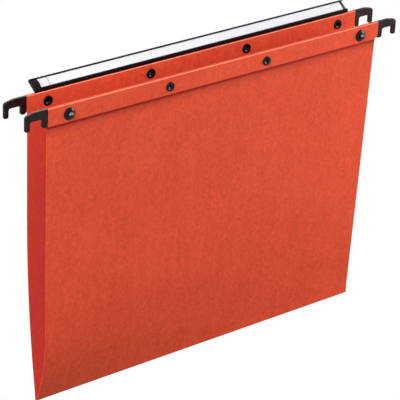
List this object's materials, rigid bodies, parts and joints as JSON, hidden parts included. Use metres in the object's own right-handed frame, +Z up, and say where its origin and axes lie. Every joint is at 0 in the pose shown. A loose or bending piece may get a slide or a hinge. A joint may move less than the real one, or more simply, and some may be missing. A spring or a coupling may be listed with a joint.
{
  "type": "hanging file folder",
  "caption": "Open-sided kraft pocket hung between stiffened rails with moulded hooks; it opens and closes as a V, links to its neighbours by press studs and carries a magnifying label holder.",
  "frame": {"origin": "middle of the four hook seats: midway along the rails, midway between them, at the height where the hooks rest", "axes": "+X along the rails to the right, +Y from the front rail to the rear rail, +Z up"},
  "size_m": [0.3482, 0.0414, 0.2562],
  "materials": {
    "kraft": "matt, fibrous",
    "bar_steel": "plain strip",
    "hook_plastic": "satin",
    "black_metal": "gloss",
    "spring_steel": "bright wire",
    "holder_plastic": "semi-gloss",
    "clear_plastic": "clear, polished",
    "label_paper": "matt"
  },
  "bodies": {
    "rear_rail": {"rear_sleeve": "kraft", "rear_bar": "bar_steel", "rear_left_hook": "hook_plastic", "rear_right_hook": "hook_plastic", "rear_left_socket": "black_metal", "rear_right_socket": "black_metal", "rear_left_socket_spring": "spring_steel", "rear_right_socket_spring": "spring_steel", "rear_left_socket_eyelet": "black_metal", "rear_right_socket_eyelet": "black_metal", "rear_left_rivet": "black_metal", "rear_right_rivet": "black_metal", "label_channel": "holder_plastic", "label_end_plug": "holder_plastic", "label_window": "clear_plastic"},
    "label": {"label_strip": "label_paper"},
    "rear_leaf": {"rear_leaf": "kraft"},
    "front_leaf": {"front_leaf": "kraft"},
    "front_rail": {"front_sleeve": "kraft", "front_bar": "bar_steel", "front_left_hook": "hook_plastic", "front_right_hook": "hook_plastic", "front_left_stud": "black_metal", "front_right_stud": "black_metal", "front_left_stud_eyelet": "black_metal", "front_right_stud_eyelet": "black_metal", "front_left_rivet": "black_metal", "front_right_rivet": "black_metal"}
  },
  "joints": [
    {"name": "rear_leaf_hinge", "type": "hinge", "parent": "rear_rail", "child": "rear_leaf", "pos_m": [0, 0.01225, -0.0062], "axis": [-1, 0, 0], "range_deg": [-2.75, 27]},
    {"name": "fold_hinge", "type": "hinge", "parent": "rear_leaf", "child": "front_leaf", "pos_m": [0, 0, -0.2412], "axis": [1, 0, 0], "range_deg": [-5.5, 54]},
    {"name": "front_rail_hinge", "type": "hinge", "parent": "front_leaf", "child": "front_rail", "pos_m": [0, -0.01225, -0.0062], "axis": [-1, 0, 0], "range_deg": [-2.75, 27]},
    {"name": "label_slide", "type": "slide", "parent": "rear_rail", "child": "label", "axis": [1, 0, 0], "range_m": [0, 0.29]}
  ],
  "couplings": [
    {"joint": "fold_hinge", "follows": "rear_leaf_hinge", "ratio": 2},
    {"joint": "front_rail_hinge", "follows": "rear_leaf_hinge", "ratio": 1}
  ]
}
